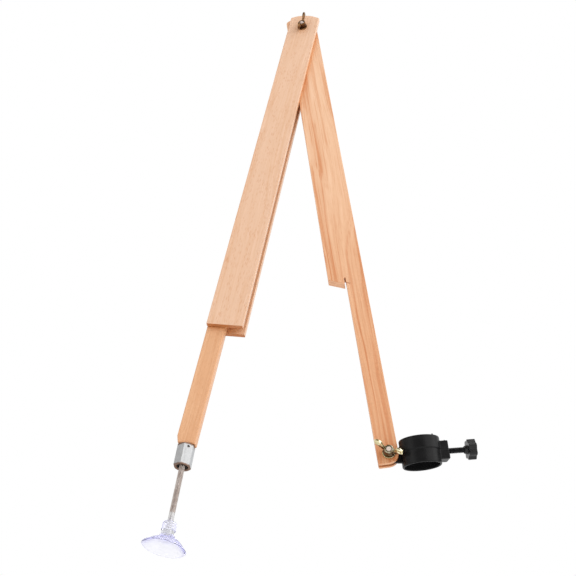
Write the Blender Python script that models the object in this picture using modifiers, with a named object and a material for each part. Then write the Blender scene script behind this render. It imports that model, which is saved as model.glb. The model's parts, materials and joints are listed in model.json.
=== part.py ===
"""Folding wooden easel arm: a grooved leg with a suction foot, and a swing arm with a post clamp.

Units are metres and +Z is up. The legs lie in the X-Z plane, with the front at -Y.
The origin is the middle of the clamp collar's bore, where a post holds the arm.
Each leg is built in a frame of its own: x across the leg, z along it, and x = z = 0 where the legs'
middle lines cross, a little below the bolt that joins them.
"""
import math

import bmesh
import bpy
from mathutils import Matrix, Vector

# Fit between solids that touch on the real object
GAP = 0.0003

# Legs
LEG_WIDTH = 0.040
PLATE_THICKNESS = 0.0055
CHANNEL_GAP = 0.010
PLATE_TOP_RISE = 0.031
ARM_TOP_RISE = 0.034
TOP_ARC_RADIUS = 0.036
PIVOT_RAISE = 0.0047
EDGE_ROUNDING = 0.0007
CHANNEL_ANGLE = math.radians(9.9)
ARM_ANGLE = math.radians(5.6)

# Channel leg
PLATE_END = -0.512
BAR_TOP = -0.468
BAR_END = -0.655
BAR_RIGHT = 0.0005
BAR_ROUNDING = 0.0014
BAR_TAPER = 0.0024
BAR_TAPER_LENGTH = 0.0080
SLEEVE_X = -0.0089
SLEEVE_LEAN = math.radians(2.6)
SLEEVE_SEAT = 0.0008
SLEEVE_LENGTH = 0.0237
SLEEVE_FLATS = 0.0158
SLEEVE_MOUTH_RADIUS = 0.0057
SLEEVE_MOUTH_DEPTH = 0.0080
SPIGOT_LENGTH = 0.012
SPIGOT_RADIUS = 0.0038
ROD_RADIUS = 0.0029
ROD_BORE_RADIUS = 0.0031
ROD_TOP = 0.019
ROD_TRAVEL_IN = 0.030
PIN_RADIUS = 0.0012

# Suction cup, its head CUP_TOP below the bar's end, and the rest measured down from the head
CUP_TOP = -0.083
CUP_HEAD_RADIUS = 0.0070
CUP_HEAD_LENGTH = 0.0165
CUP_RIM_RADIUS = 0.0213
CUP_DEPTH = 0.0255
CUP_NUT_DROP = 0.0082
ROD_INTO_CUP = 0.0145

# Swing arm
STEP_LEFT = -0.448
STEP_RIGHT = -0.4565
KERF_LEFT = -0.0026
KERF_TOP = -0.4475
NARROW_LEFT = -0.0009
CROSS_KERF_X = 0.0032
CROSS_KERF_Z = -0.4564
CROSS_KERF_WIDTH = 0.0009
ARM_END = -0.682
ARM_NOSE_RADIUS = 0.0100
FORK_TOP = -0.650
FORK_SLOT = 0.0034
CLAMP_BOLT_X = 0.0110
CLAMP_BOLT_Z = -0.6715

# Bolts, washers and wing nuts (M6)
BOLT_RADIUS = 0.0029
BOLT_HOLE_RADIUS = 0.0033
BOLT_HEAD_RADIUS = 0.0068
BOLT_HEAD_HEIGHT = 0.0032
WASHER_RADIUS = 0.0064
WASHER_THICKNESS = 0.0012
WING_HUB_HEIGHT = 0.0066
WING_SPAN = 0.0304
WING_HEIGHT = 0.0138
WING_THICKNESS = 0.0022
NUT_FLATS = 0.0100
NUT_THICKNESS = 0.0048
PIVOT_WING_ANGLE = math.radians(-80)
CLAMP_WING_ANGLE = math.radians(22)

# Post clamp, seen in the collar's own frame: z along the bore, x along the clamp screw
RING_FROM_BOLT = Vector((0.0298, 0.0, -0.0021))
RING_TILT = math.radians(2.1)
RING_LEAN = math.radians(16)
RING_TURN = math.radians(9)
RING_RADIUS = 0.0195
RING_BORE = 0.0170
RING_HEIGHT = 0.0262
RING_STEP = 0.0006
EAR_THICKNESS = 0.0028
EAR_RADIUS = 0.0082
BOSS_END = 0.0265
BOSS_HEIGHT = 0.0178
BOSS_DEPTH = 0.0155
NUT_SEAT = 0.0178
SCREW_TIP = 0.0160
SCREW_LENGTH = 0.0330
PAD_RADIUS = 0.0052
PAD_THICKNESS = 0.0030
KNOB_START = 0.0424
KNOB_HUB = 0.0030
KNOB_RADIUS = 0.0100
KNOB_THICKNESS = 0.0078
KNOB_LOBES = 7

HALF_DEPTH = CHANNEL_GAP / 2 + PLATE_THICKNESS
HALF_BOARD = CHANNEL_GAP / 2 - GAP
FOLD = CHANNEL_ANGLE + ARM_ANGLE
ARM_FROM_BOLT = -PIVOT_RAISE * Vector((math.sin(FOLD / 2), 0, math.cos(FOLD / 2)))
CHANNEL_FROM_BOLT = -PIVOT_RAISE * Vector((-math.sin(FOLD / 2), 0, math.cos(FOLD / 2)))


# Scene helpers ---------------------------------------------------------------------------------

def empty_scene():
    """Remove everything, then make one collection for the parts and one for the cutters."""
    for old in list(bpy.data.objects):
        bpy.data.objects.remove(old, do_unlink=True)
    collections = []
    for name in ("wooden_easel_arm", "cutters"):
        collection = bpy.data.collections.new(name)
        bpy.context.scene.collection.children.link(collection)
        collections.append(collection)
    return collections


def make_material(name, color, roughness, metallic=0.0, alpha=1.0):
    """A Principled material of one colour."""
    material = bpy.data.materials.new(name)
    material.use_nodes = True
    shader = material.node_tree.nodes["Principled BSDF"]
    shader.inputs["Base Color"].default_value = (*color, 1.0)
    shader.inputs["Roughness"].default_value = roughness
    shader.inputs["Metallic"].default_value = metallic
    shader.inputs["Alpha"].default_value = alpha
    material.diffuse_color = (*color, alpha)
    return material


def add_axis(name, location=(0, 0, 0), rotation=(0, 0, 0), parent=None):
    """An empty that carries the pieces of one moving group."""
    axis = bpy.data.objects.new(name, None)
    axis.empty_display_size = 0.02
    axis.location = location
    axis.rotation_euler = rotation
    axis.parent = parent
    PARTS.objects.link(axis)
    return axis


def add_part(name, mesh, parent, material, location=(0, 0, 0), rotation=(0, 0, 0)):
    """One named sub-part in the object's collection."""
    part = bpy.data.objects.new(name, mesh)
    part.location = location
    part.rotation_euler = rotation
    part.parent = parent
    mesh.materials.append(material)
    mesh.set_sharp_from_angle(angle=math.radians(35))
    PARTS.objects.link(part)
    return part


def add_cutter(name, mesh, parent, location=(0, 0, 0), rotation=(0, 0, 0)):
    """A shape that only cuts or joins another."""
    cutter = bpy.data.objects.new(name, mesh)
    cutter.location = location
    cutter.rotation_euler = rotation
    cutter.parent = parent
    cutter.hide_render = True
    cutter.display_type = "WIRE"
    CUTTERS.objects.link(cutter)
    return cutter


def combine(part, other, operation="DIFFERENCE"):
    """Cut a shape from a part, or join it on."""
    modifier = part.modifiers.new(other.name, "BOOLEAN")
    modifier.operation = operation
    modifier.solver = "EXACT"
    modifier.object = other


# Mesh helpers ----------------------------------------------------------------------------------

def cylinder(radius, low, high, segments=32, axis="Z", top_radius=None):
    """A cylinder, cone or prism between two heights on an axis."""
    bm = bmesh.new()
    top = radius if top_radius is None else top_radius
    middle = Matrix.Translation((0, 0, (low + high) / 2))
    bmesh.ops.create_cone(bm, cap_ends=True, segments=segments, radius1=radius, radius2=top,
                          depth=high - low, matrix=middle)
    if axis == "Y":
        bmesh.ops.rotate(bm, verts=bm.verts, matrix=Matrix.Rotation(math.radians(-90), 3, "X"))
    if axis == "X":
        bmesh.ops.rotate(bm, verts=bm.verts, matrix=Matrix.Rotation(math.radians(90), 3, "Y"))
    return finish_mesh(bm)


def hexagon(flats, low, high, axis="Z", front="flat"):
    """A six-sided prism, given across its flats, with a flat or a corner facing the front."""
    bm = bmesh.new()
    turn = Matrix.Rotation(math.radians(30 if front == "flat" else 0), 4, "Z")
    middle = Matrix.Translation((0, 0, (low + high) / 2)) @ turn
    corner = flats / 2 / math.cos(math.pi / 6)
    bmesh.ops.create_cone(bm, cap_ends=True, segments=6, radius1=corner, radius2=corner,
                          depth=high - low, matrix=middle)
    if axis == "X":
        bmesh.ops.rotate(bm, verts=bm.verts, matrix=Matrix.Rotation(math.radians(90), 3, "Y"))
    return finish_mesh(bm)


def box(low, high, rounding=0.0):
    """A box between two corners, with its edges rounded if asked."""
    bm = bmesh.new()
    size = Vector(high) - Vector(low)
    middle = (Vector(high) + Vector(low)) / 2
    bmesh.ops.create_cube(bm, size=1.0, matrix=Matrix.Translation(middle) @ Matrix.Diagonal((*size, 1)))
    if rounding:
        bmesh.ops.bevel(bm, geom=bm.edges[:], offset=rounding, segments=2, affect="EDGES", profile=0.5)
    return finish_mesh(bm)


def finish_mesh(bm):
    """Turn a bmesh into smooth-shaded mesh data."""
    mesh = bpy.data.meshes.new("shape")
    bm.to_mesh(mesh)
    bm.free()
    mesh.shade_smooth()
    return mesh


def arc(centre, radius, start, end, steps):
    """Points on a circle from one angle in degrees to another."""
    points = []
    for i in range(steps + 1):
        angle = math.radians(start + (end - start) * i / steps)
        points.append((centre[0] + radius * math.cos(angle), centre[1] + radius * math.sin(angle)))
    return points


def plate_from_outline(points, thickness):
    """A flat plate in the X-Z plane, its middle on y = 0, from an outline of (x, z) points."""
    curve = bpy.data.curves.new("outline", "CURVE")
    curve.dimensions = "2D"
    curve.fill_mode = "BOTH"
    curve.extrude = thickness / 2
    spline = curve.splines.new("POLY")
    spline.points.add(len(points) - 1)
    for point, (x, z) in zip(spline.points, points):
        point.co = (x, z, 0, 1)
    spline.use_cyclic_u = True
    outline = bpy.data.objects.new("outline", curve)
    CUTTERS.objects.link(outline)
    graph = bpy.context.evaluated_depsgraph_get()
    mesh = bpy.data.meshes.new_from_object(outline.evaluated_get(graph))
    bpy.data.objects.remove(outline, do_unlink=True)
    bm = bmesh.new()
    bm.from_mesh(mesh)
    bpy.data.meshes.remove(mesh)
    bmesh.ops.remove_doubles(bm, verts=bm.verts, dist=0.000005)
    bmesh.ops.rotate(bm, verts=bm.verts, matrix=Matrix.Rotation(math.radians(90), 3, "X"))
    bmesh.ops.dissolve_limit(bm, angle_limit=math.radians(0.5), verts=bm.verts, edges=bm.edges)
    bmesh.ops.recalc_face_normals(bm, faces=bm.faces)
    return finish_mesh(bm)


def turned(profile, closed=False):
    """A profile of (radius, z) points, top to bottom on its outer side, for the Screw modifier."""
    bm = bmesh.new()
    verts = [bm.verts.new((r, 0, z)) for r, z in profile]
    for start, end in zip(verts, verts[1:]):
        bm.edges.new((start, end))
    if closed:
        bm.edges.new((verts[-1], verts[0]))
    return finish_mesh(bm)


def spin(part, steps=32):
    """Turn a part's profile once round its Z axis."""
    modifier = part.modifiers.new("spin", "SCREW")
    modifier.steps = steps
    modifier.render_steps = steps
    modifier.use_merge_vertices = True
    modifier.merge_threshold = 0.00001
    modifier.use_smooth_shade = True


def round_edges(part, width, segments=2):
    """Take the sharp arrises off a part."""
    modifier = part.modifiers.new("rounding", "BEVEL")
    modifier.width = width
    modifier.segments = segments
    modifier.limit_method = "ANGLE"
    modifier.angle_limit = math.radians(40)


# Wooden parts ----------------------------------------------------------------------------------

def shallow_top(rise, corner=0.0):
    """The shallow arc on top of a leg, from right to left, with its corners cut if asked."""
    half = LEG_WIDTH / 2
    centre = (0.0, rise - TOP_ARC_RADIUS)
    reach = math.degrees(math.asin((half - corner) / TOP_ARC_RADIUS))
    top = arc(centre, TOP_ARC_RADIUS, 90 - reach, 90 + reach, 12)
    if corner:
        low = top[0][1] - corner * 1.5
        top = [(half, low)] + top + [(-half, low)]
    return top


def add_plate(name, y, top, parent, material, hole):
    """One long face plate of the channel leg, below its top outline."""
    half = LEG_WIDTH / 2
    outline = top + [(-half, PLATE_END), (half, PLATE_END)]
    mesh = plate_from_outline(outline, PLATE_THICKNESS)
    plate = add_part(name, mesh, parent, material, CHANNEL_FROM_BOLT + Vector((0, y, 0)))
    round_edges(plate, EDGE_ROUNDING)
    combine(plate, hole)


def add_extension_bar(parent, material, sleeve_axis):
    """The bar glued between the plates, tapered at its end and bored there for the threaded rod."""
    left = -LEG_WIDTH / 2
    outline = [(BAR_RIGHT, BAR_TOP), (left, BAR_TOP), (left, BAR_END + BAR_TAPER_LENGTH)]
    outline += [(left + BAR_TAPER, BAR_END), (BAR_RIGHT, BAR_END)]
    mesh = plate_from_outline(outline, 2 * HALF_BOARD)
    bar = add_part("extension_bar", mesh, parent, material, CHANNEL_FROM_BOLT)
    round_edges(bar, BAR_ROUNDING, 3)
    below = -0.002
    counterbore = cylinder(SPIGOT_RADIUS + GAP, below, SPIGOT_LENGTH + 0.001)
    combine(bar, add_cutter("spigot_bore", counterbore, sleeve_axis))
    bore_end = ROD_TOP + ROD_TRAVEL_IN + 0.004
    combine(bar, add_cutter("rod_bore", cylinder(BOLT_HOLE_RADIUS, below, bore_end, 24), sleeve_axis))


def arm_outline():
    """Outline of the swing arm: wide above, then half its width below a slanted saw-cut step."""
    half = LEG_WIDTH / 2
    kerf = CROSS_KERF_WIDTH
    slope = (STEP_RIGHT - STEP_LEFT) / (KERF_LEFT + half)
    rise = slope * (CROSS_KERF_X - NARROW_LEFT)
    nose = (half - ARM_NOSE_RADIUS, ARM_END + ARM_NOSE_RADIUS)
    heel = 0.0015
    outline = shallow_top(ARM_TOP_RISE, 0.0020)
    outline += [(-half, STEP_LEFT), (KERF_LEFT, STEP_RIGHT), (KERF_LEFT, KERF_TOP), (NARROW_LEFT, KERF_TOP)]
    outline += [(NARROW_LEFT, CROSS_KERF_Z - rise), (CROSS_KERF_X, CROSS_KERF_Z)]
    outline += [(CROSS_KERF_X, CROSS_KERF_Z - kerf), (NARROW_LEFT, CROSS_KERF_Z - rise - kerf)]
    outline += arc((NARROW_LEFT + heel, ARM_END + heel), heel, 180, 270, 3)
    outline += arc(nose, ARM_NOSE_RADIUS, 270, 360, 8)
    return outline


def add_swing_arm(parent, material, pivot_hole):
    """The single board that folds into the channel, forked at its lower end for the collar's ear."""
    mesh = plate_from_outline(arm_outline(), 2 * HALF_BOARD)
    arm = add_part("swing_arm", mesh, parent, material, ARM_FROM_BOLT)
    round_edges(arm, EDGE_ROUNDING / 2)
    combine(arm, pivot_hole)
    slot = box((-0.03, -FORK_SLOT / 2, ARM_END - 0.01), (0.03, FORK_SLOT / 2, FORK_TOP))
    combine(arm, add_cutter("fork_slot", slot, arm))
    hole = cylinder(BOLT_HOLE_RADIUS, -0.01, 0.01, 24, "Y")
    combine(arm, add_cutter("clamp_bolt_hole", hole, arm, (CLAMP_BOLT_X, 0, CLAMP_BOLT_Z)))


# Fasteners -------------------------------------------------------------------------------------

def bolt_profile(grip):
    """A round-head bolt with its axis on Z: threaded end up, head under z = 0, by its grip length."""
    head = []
    for angle in range(0, 91, 18):
        r = BOLT_HEAD_RADIUS * math.cos(math.radians(angle))
        z = -GAP - BOLT_HEAD_HEIGHT * math.sin(math.radians(angle))
        head.append((r, z))
    end = grip + WASHER_THICKNESS + WING_HUB_HEIGHT + 4 * GAP
    chamfer = 0.0006
    shank = [(0, end), (BOLT_RADIUS - chamfer, end), (BOLT_RADIUS, end - chamfer), (BOLT_RADIUS, -GAP)]
    return shank + head[:-1] + [(0, -GAP - BOLT_HEAD_HEIGHT)]


def add_bolt(name, half_grip, parent, material, location):
    """A bolt along Y, with its head behind the leg and its threaded end in front."""
    place = Vector(location) + Vector((0, half_grip, 0))
    bolt = add_part(name, turned(bolt_profile(2 * half_grip)), parent, material, place,
                    (math.radians(90), 0, 0))
    spin(bolt, 24)


def add_washer(name, parent, material, seat):
    """A flat washer lying on the front face of a leg."""
    low = seat + GAP
    high = low + WASHER_THICKNESS
    ring = [(WASHER_RADIUS, high), (WASHER_RADIUS, low), (BOLT_HOLE_RADIUS, low), (BOLT_HOLE_RADIUS, high)]
    washer = add_part(name, turned(ring, closed=True), parent, material, (0, 0, 0), (math.radians(90), 0, 0))
    spin(washer, 32)


def wing_outline():
    """Both wings as one butterfly shape across the nut's axis, as (x, z) points."""
    lobe = 0.0042
    tip = WING_SPAN / 2 - lobe
    crown = WING_HEIGHT - lobe
    right = [(0.0030, 0.0012), (0.0066, 0.0018)]
    right += arc((tip, crown), lobe, -58, 152, 10)
    right += [(0.0050, WING_HUB_HEIGHT - 0.0006)]
    left = [(-x, z) for x, z in reversed(right)]
    return right + left


def add_wing_nut(name, parent, material, seat, angle):
    """A wing nut whose wings stand at an angle from level, seated on its washer."""
    base = seat + WASHER_THICKNESS + 2 * GAP
    profile = [(0.0046, WING_HUB_HEIGHT), (0.0052, 0.0040), (0.0060, 0.0010), (0.0060, 0.0)]
    profile += [(ROD_BORE_RADIUS, 0.0), (ROD_BORE_RADIUS, WING_HUB_HEIGHT)]
    turn = (math.radians(90), angle, 0)
    nut = add_part(name, turned(profile, closed=True), parent, material, (0, -base, 0), turn)
    spin(nut, 24)
    wings = plate_from_outline(wing_outline(), WING_THICKNESS)
    blades = add_cutter(name + "_wings", wings, nut)
    combine(nut, blades, "UNION")
    bore = cylinder(ROD_BORE_RADIUS, -0.001, WING_HEIGHT, 24)
    combine(nut, add_cutter(name + "_bore", bore, nut))


# Suction foot ----------------------------------------------------------------------------------

def add_hex_sleeve(parent, material, pin_material):
    """The hexagonal threaded sleeve on the bar's end, its spigot in the bar, locked by a side pin."""
    top = -SLEEVE_SEAT
    bottom = top - SLEEVE_LENGTH
    sleeve = add_part("hex_sleeve", hexagon(SLEEVE_FLATS, bottom, top, front="corner"), parent, material)
    round_edges(sleeve, 0.0005, 1)
    spigot = cylinder(SPIGOT_RADIUS, top - 0.002, SPIGOT_LENGTH)
    combine(sleeve, add_cutter("sleeve_spigot", spigot, sleeve), "UNION")
    bore = cylinder(ROD_BORE_RADIUS, bottom - 0.002, SPIGOT_LENGTH + 0.002, 24)
    combine(sleeve, add_cutter("sleeve_bore", bore, sleeve))
    mouth = cylinder(SLEEVE_MOUTH_RADIUS, bottom - 0.002, bottom + SLEEVE_MOUTH_DEPTH, 32)
    combine(sleeve, add_cutter("sleeve_mouth", mouth, sleeve))
    pin_place = (0, 0, top - 0.0038)
    turn = (0, 0, math.radians(-60))
    hole = cylinder(PIN_RADIUS + GAP / 2, 0.001, 0.012, 16, "X")
    combine(sleeve, add_cutter("pin_hole", hole, parent, pin_place, turn))
    pin = cylinder(PIN_RADIUS, ROD_BORE_RADIUS + GAP, SLEEVE_FLATS / 2 - 0.0008, 16, "X")
    add_part("sleeve_pin", pin, parent, pin_material, pin_place, turn)


def cup_profile():
    """Half section of the suction cup about its axis, with z = 0 on top of its head."""
    head = CUP_HEAD_RADIUS
    rim = CUP_RIM_RADIUS
    outer = [(0, 0), (head - 0.0008, 0), (head, -0.0008), (head, -CUP_HEAD_LENGTH + 0.0015)]
    inner = []
    steps = 5
    wall = 0.0018
    for i in range(steps + 1):
        part = i / steps
        r = head + 0.0010 + (rim - head - 0.0010) * part
        drop = (CUP_DEPTH - CUP_HEAD_LENGTH) * part ** 1.5
        outer.append((r, -CUP_HEAD_LENGTH - drop))
        inner.append((r - 0.0010, -CUP_HEAD_LENGTH - drop - wall * (1 - 0.6 * part)))
    inner[-1] = (rim - 0.0012, -CUP_DEPTH)
    return outer + inner[::-1] + [(0, -CUP_HEAD_LENGTH - wall)]


def add_suction_cup(parent, material, nut_material):
    """The soft cup with a nut held in the cross slot of its head."""
    mesh = turned(cup_profile())
    cup = add_part("suction_cup", mesh, parent, material)
    spin(cup, 36)
    drop = -CUP_NUT_DROP
    bore = cylinder(BOLT_HOLE_RADIUS, -ROD_INTO_CUP - 0.001, 0.002, 24)
    combine(cup, add_cutter("cup_bore", bore, cup))
    slot = box((-0.009, -NUT_FLATS / 2 - GAP, drop - NUT_THICKNESS - GAP), (0.009, NUT_FLATS / 2 + GAP, drop + GAP))
    combine(cup, add_cutter("nut_slot", slot, cup))
    nut = hexagon(NUT_FLATS, drop - NUT_THICKNESS, drop)
    part = add_part("cup_nut", nut, parent, nut_material)
    hole = cylinder(ROD_BORE_RADIUS, drop - NUT_THICKNESS - 0.001, drop + 0.001, 24)
    combine(part, add_cutter("cup_nut_bore", hole, part))


def add_threaded_rod(parent, material):
    """The rod that turns in the sleeve, its lower end held in the cup's nut."""
    rod = cylinder(ROD_RADIUS, -ROD_INTO_CUP, ROD_TOP - CUP_TOP, 24)
    add_part("threaded_rod", rod, parent, material)


# Post clamp ------------------------------------------------------------------------------------

def add_collar(axis, frame, material):
    """The moulded collar: a stepped ring, a boss for the screw, and a flat ear into the fork."""
    half = RING_HEIGHT / 2
    wide = RING_RADIUS
    rim = 0.0006
    profile = [(wide - rim, half), (wide, half - rim), (wide, 0.0008), (wide - RING_STEP, 0.0002),
               (wide - RING_STEP, -half + rim), (wide - RING_STEP - rim, -half),
               (RING_BORE + rim, -half), (RING_BORE, -half + rim), (RING_BORE, half - rim), (RING_BORE + rim, half)]
    collar = add_part("clamp_collar", turned(profile, closed=True), frame, material)
    spin(collar, 48)
    boss = box((0, -BOSS_DEPTH / 2, -BOSS_HEIGHT / 2), (BOSS_END, BOSS_DEPTH / 2, BOSS_HEIGHT / 2), 0.0010)
    combine(collar, add_cutter("boss", boss, frame), "UNION")
    reach = RING_FROM_BOLT.x - RING_RADIUS + 0.0015
    drop = RING_FROM_BOLT.z
    ear = [(reach, drop - EAR_RADIUS)] + [(reach, drop + EAR_RADIUS)] + arc((0, 0), EAR_RADIUS, 90, 270, 12)
    combine(collar, add_cutter("ear", plate_from_outline(ear, EAR_THICKNESS), axis), "UNION")
    bore = cylinder(RING_BORE, -half - 0.01, half + 0.01, 48)
    combine(collar, add_cutter("post_bore", bore, frame))
    hole = cylinder(BOLT_HOLE_RADIUS, -0.01, 0.01, 24, "Y")
    combine(collar, add_cutter("ear_hole", hole, axis))
    seat = hexagon(NUT_FLATS + 2 * GAP, 0.0, NUT_SEAT + NUT_THICKNESS + GAP, "X")
    combine(collar, add_cutter("nut_seat", seat, frame))
    screw_hole = cylinder(BOLT_HOLE_RADIUS, 0.0, BOSS_END + 0.005, 24, "X")
    combine(collar, add_cutter("screw_hole", screw_hole, frame))


def add_captive_nut(frame, material):
    """The steel nut that sits in the boss, behind the wall of the bore."""
    nut = add_part("captive_nut", hexagon(NUT_FLATS, NUT_SEAT, NUT_SEAT + NUT_THICKNESS, "X"), frame, material)
    hole = cylinder(ROD_BORE_RADIUS, NUT_SEAT - 0.002, NUT_SEAT + NUT_THICKNESS + 0.002, 24, "X")
    combine(nut, add_cutter("captive_nut_bore", hole, frame))


def add_clamp_screw(frame, screw_material, knob_material, pad_material):
    """The clamp screw with its lobed knob, and the pad that it presses on the post."""
    shaft = cylinder(BOLT_RADIUS, SCREW_TIP, SCREW_TIP + SCREW_LENGTH, 24, "X")
    add_part("clamp_screw", shaft, frame, screw_material)
    low = SCREW_TIP - GAP - PAD_THICKNESS
    pad = add_part("pressure_pad", cylinder(PAD_RADIUS, low, SCREW_TIP - GAP, 24, "X"), frame, pad_material)
    round_edges(pad, 0.0004, 1)
    outline = []
    count = 8 * KNOB_LOBES
    for i in range(count):
        angle = 2 * math.pi * i / count
        r = KNOB_RADIUS * (0.93 + 0.07 * math.cos(KNOB_LOBES * angle))
        outline.append((r * math.cos(angle), r * math.sin(angle)))
    mesh = plate_from_outline(outline, KNOB_THICKNESS)
    middle = KNOB_START + KNOB_HUB + KNOB_THICKNESS / 2
    knob = add_part("clamp_knob", mesh, frame, knob_material, (middle, 0, 0), (0, 0, math.radians(-90)))
    round_edges(knob, 0.0010, 2)
    hub = cylinder(0.0044, KNOB_START, middle, 24, "X")
    combine(knob, add_cutter("knob_hub", hub, frame), "UNION")
    bore = cylinder(BOLT_RADIUS + GAP, KNOB_START - 0.002, SCREW_TIP + SCREW_LENGTH + GAP, 24, "X")
    combine(knob, add_cutter("knob_bore", bore, frame))


# Assembly --------------------------------------------------------------------------------------

def build():
    """Make every part, from the post clamp outwards."""
    beech = make_material("beech", (0.82, 0.55, 0.36), 0.55)
    pale_beech = make_material("pale_beech", (0.78, 0.49, 0.29), 0.55)
    zinc = make_material("zinc", (0.60, 0.62, 0.64), 0.35, 1.0)
    rod_steel = make_material("rod_steel", (0.34, 0.29, 0.25), 0.45, 1.0)
    brass = make_material("aged_brass", (0.24, 0.13, 0.06), 0.40, 1.0)
    yellow_zinc = make_material("yellow_zinc", (0.68, 0.60, 0.30), 0.30, 1.0)
    black = make_material("black_plastic", (0.02, 0.02, 0.021), 0.45)
    black_steel = make_material("black_steel", (0.03, 0.03, 0.032), 0.40, 1.0)
    clear = make_material("clear_vinyl", (0.78, 0.78, 0.95), 0.15, 0.0, 0.6)

    bolt = Vector((-RING_FROM_BOLT.x, 0, -RING_FROM_BOLT.z))
    bolt.rotate(Matrix.Rotation(-ARM_ANGLE, 3, "Y"))
    clamp_axis = add_axis("clamp_axis", bolt, (0, -ARM_ANGLE, 0))
    tilt = Matrix.Rotation(RING_TILT, 4, "Y") @ Matrix.Rotation(RING_LEAN, 4, "X")
    tilt = tilt @ Matrix.Rotation(RING_TURN, 4, "Z")
    ring_frame = add_axis("ring_frame", RING_FROM_BOLT, tilt.to_euler(), clamp_axis)
    add_collar(clamp_axis, ring_frame, black)
    add_captive_nut(ring_frame, zinc)
    add_clamp_screw(ring_frame, black_steel, black, black)

    pivot_place = Vector((-CLAMP_BOLT_X, 0, -CLAMP_BOLT_Z)) - ARM_FROM_BOLT
    pivot_axis = add_axis("pivot_axis", pivot_place, (0, 0, 0), clamp_axis)
    channel_axis = add_axis("channel_axis", (0, 0, 0), (0, FOLD, 0), pivot_axis)
    pivot_hole = add_cutter("pivot_hole", cylinder(BOLT_HOLE_RADIUS, -0.02, 0.02, 24, "Y"), pivot_axis)

    add_swing_arm(pivot_axis, pale_beech, pivot_hole)
    add_bolt("clamp_bolt", HALF_BOARD, clamp_axis, yellow_zinc, (0, 0, 0))
    add_washer("clamp_washer", clamp_axis, yellow_zinc, HALF_BOARD)
    add_wing_nut("clamp_wing_nut", clamp_axis, yellow_zinc, HALF_BOARD, CLAMP_WING_ANGLE + ARM_ANGLE)

    side = HALF_DEPTH - PLATE_THICKNESS / 2
    round_top = arc((0.0, 0.0), LEG_WIDTH / 2, 0, 180, 20)
    add_plate("front_plate", -side, shallow_top(PLATE_TOP_RISE), channel_axis, beech, pivot_hole)
    add_plate("back_plate", side, round_top, channel_axis, beech, pivot_hole)
    add_bolt("pivot_bolt", HALF_DEPTH, channel_axis, brass, (0, 0, 0))
    add_washer("pivot_washer", channel_axis, brass, HALF_DEPTH)
    add_wing_nut("pivot_wing_nut", channel_axis, brass, HALF_DEPTH, PIVOT_WING_ANGLE - CHANNEL_ANGLE)
    sleeve_place = CHANNEL_FROM_BOLT + Vector((SLEEVE_X, 0, BAR_END))
    sleeve_axis = add_axis("sleeve_axis", sleeve_place, (0, -SLEEVE_LEAN, 0), channel_axis)
    add_extension_bar(channel_axis, pale_beech, sleeve_axis)
    add_hex_sleeve(sleeve_axis, zinc, rod_steel)
    foot_axis = add_axis("foot_axis", (0, 0, CUP_TOP), (0, 0, 0), sleeve_axis)
    add_threaded_rod(foot_axis, rod_steel)
    add_suction_cup(foot_axis, clear, zinc)


PARTS, CUTTERS = empty_scene()
build()
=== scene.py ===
"""Looks of the folding wooden easel arm: lacquered beech, zinc and brass hardware, black nylon, clear vinyl.

Units are metres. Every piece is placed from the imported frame's own joints and mounts.
"""
import json
import math

import bmesh
import bpy
from mathutils import Matrix, Vector


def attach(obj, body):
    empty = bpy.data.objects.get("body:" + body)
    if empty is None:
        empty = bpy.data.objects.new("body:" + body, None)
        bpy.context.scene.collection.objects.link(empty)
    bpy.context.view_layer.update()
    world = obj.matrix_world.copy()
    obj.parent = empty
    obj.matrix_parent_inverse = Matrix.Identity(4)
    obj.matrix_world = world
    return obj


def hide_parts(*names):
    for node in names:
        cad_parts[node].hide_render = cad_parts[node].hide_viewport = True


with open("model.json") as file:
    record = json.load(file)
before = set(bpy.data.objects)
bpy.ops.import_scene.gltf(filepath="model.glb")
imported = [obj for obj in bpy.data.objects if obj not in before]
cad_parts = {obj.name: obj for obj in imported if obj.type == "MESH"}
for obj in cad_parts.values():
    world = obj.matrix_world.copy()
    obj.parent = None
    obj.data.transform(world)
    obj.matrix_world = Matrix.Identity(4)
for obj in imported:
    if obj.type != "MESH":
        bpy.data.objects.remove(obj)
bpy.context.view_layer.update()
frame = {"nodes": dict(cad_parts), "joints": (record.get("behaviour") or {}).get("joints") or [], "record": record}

JOINTS = {joint["name"]: joint for joint in frame["joints"]}
MOUNTS = {mount["name"]: mount for mount in frame["record"]["mounts"]}
NODES = frame["nodes"]

# Metric M6 hardware
PITCH = 0.001
THREAD_RADIUS = 0.0029
THREAD_BORE = 0.0031
HOLE_RADIUS = 0.0033
WASHER_RADIUS = 0.0064
WASHER_THICKNESS = 0.0012
NUT_HEIGHT = 0.0066
PAST_NUT = 0.0006
FIT_GAP = 0.0003

# What each bolt clamps, and how far its wing nut is turned at rest
PIVOT_GRIP = 0.021
CLAMP_GRIP = 0.0094
PIVOT_WING_TURN = math.radians(-73)
CLAMP_WING_TURN = math.radians(29)

# Distance of the lower bolt from the line through the pivot along the arm
ARM_BOLT_OFFSET = 0.010366

# The sleeve and its rod lean a little from the bar's own line
FOOT_LEAN = math.radians(2.6)
SLEEVE_LENGTH = 0.0237
SLEEVE_ABOVE_FOOT = 0.0822

# Along the clamp screw, from the ring's axis
SCREW_TIP = 0.0160
KNOB_START = 0.0424


# Frames of reference ---------------------------------------------------------------------------

def frame_matrix(origin, x_axis, z_axis):
    """Placement with its z along z_axis and its x as near x_axis as it can be."""
    z = Vector(z_axis).normalized()
    y = z.cross(Vector(x_axis)).normalized()
    x = y.cross(z)
    matrix = Matrix((x, y, z)).transposed().to_4x4()
    matrix.translation = origin
    return matrix


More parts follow.
